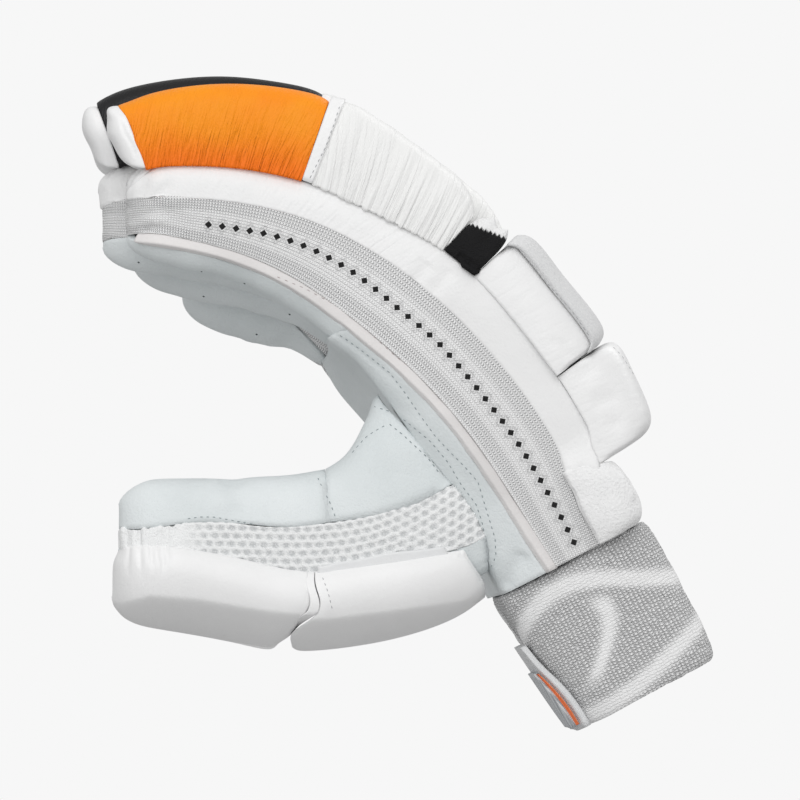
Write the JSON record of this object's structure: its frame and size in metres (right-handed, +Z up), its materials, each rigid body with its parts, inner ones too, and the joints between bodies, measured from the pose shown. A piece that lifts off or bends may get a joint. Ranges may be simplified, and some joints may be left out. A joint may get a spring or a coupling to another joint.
{
  "type": "cricket batting glove",
  "caption": "Right-hand cricket batting glove holding the curve of a closing grip, with padded finger rolls, knit side bands, a mesh-sided thumb and a knit wrist cuff.",
  "frame": {"origin": "centre of the wrist opening at the mouth of the cuff, where the arm goes in", "axes": "+Z up as pictured, with the fingers up and the cuff down; X along the glove seen from the thumb side, fingertips towards -X; Y across the fingers, index and thumb side towards -Y"},
  "size_m": [0.2026, 0.1068, 0.2102],
  "materials": {
    "palm_leather": "matt, fine grain",
    "white_leather": "smooth",
    "grey_knit": "ribbed knit with a row of black diamonds",
    "piping": "smooth",
    "white_mesh": "spacer mesh with oval dimples",
    "pad_leather": "smooth, soft gloss",
    "ribbed_leather": "finely pleated",
    "orange_leather": "finely wrinkled",
    "black_leather": "soft gloss",
    "cap_leather": "smooth, padded",
    "grey_textile": "fine textured weave",
    "black_webbing": "woven",
    "roll_fabric": "soft quilted",
    "cuff_knit": "thick towelling knit with pale bands",
    "strap_fabric": "woven",
    "badge_print": "diagonal stripes",
    "orange_edging": "printed line"
  },
  "bodies": {
    "root": {"palm_index": "palm_leather", "palm_middle": "palm_leather", "palm_ring": "palm_leather", "palm_little": "palm_leather", "palm_hand": "palm_leather", "thumb_root": "palm_leather", "thumb_palm": "palm_leather", "thumb_back": "palm_leather", "back_index": "white_leather", "back_middle": "white_leather", "back_ring": "white_leather", "back_little": "white_leather", "hand_back": "white_leather", "side_strip": "white_leather", "knit_side_band": "grey_knit", "knit_outer_band": "grey_knit", "gusset_middle": "grey_knit", "gusset_ring": "grey_knit", "palm_edge_piping": "piping", "thumb_pad_piping": "piping", "thumb_binding": "piping", "pad_piping_index": "piping", "pad_piping_middle": "piping", "pad_piping_ring": "piping", "pad_piping_little": "piping", "thumb_mesh": "white_mesh", "thumb_tip_pad": "pad_leather", "thumb_base_pad": "pad_leather", "knuckle_pad_index": "ribbed_leather", "knuckle_pad_middle": "ribbed_leather", "knuckle_pad_ring": "ribbed_leather", "knuckle_pad_little": "ribbed_leather", "tip_pad_index": "orange_leather", "tip_pad_ring": "orange_leather", "tip_pad_middle": "black_leather", "tip_pad_little": "black_leather", "tip_cap_index": "cap_leather", "tip_cap_middle": "cap_leather", "tip_cap_ring": "cap_leather", "tip_cap_little": "cap_leather", "main_pad": "pad_leather", "main_pad_panel": "grey_textile", "wrist_pad": "pad_leather", "knuckle_flex_index": "black_webbing", "knuckle_flex_little": "black_webbing", "wrist_roll": "roll_fabric", "cuff": "cuff_knit", "strap_tab": "strap_fabric", "strap_badge": "badge_print", "badge_edging": "orange_edging"}
  },
  "joints": []
}
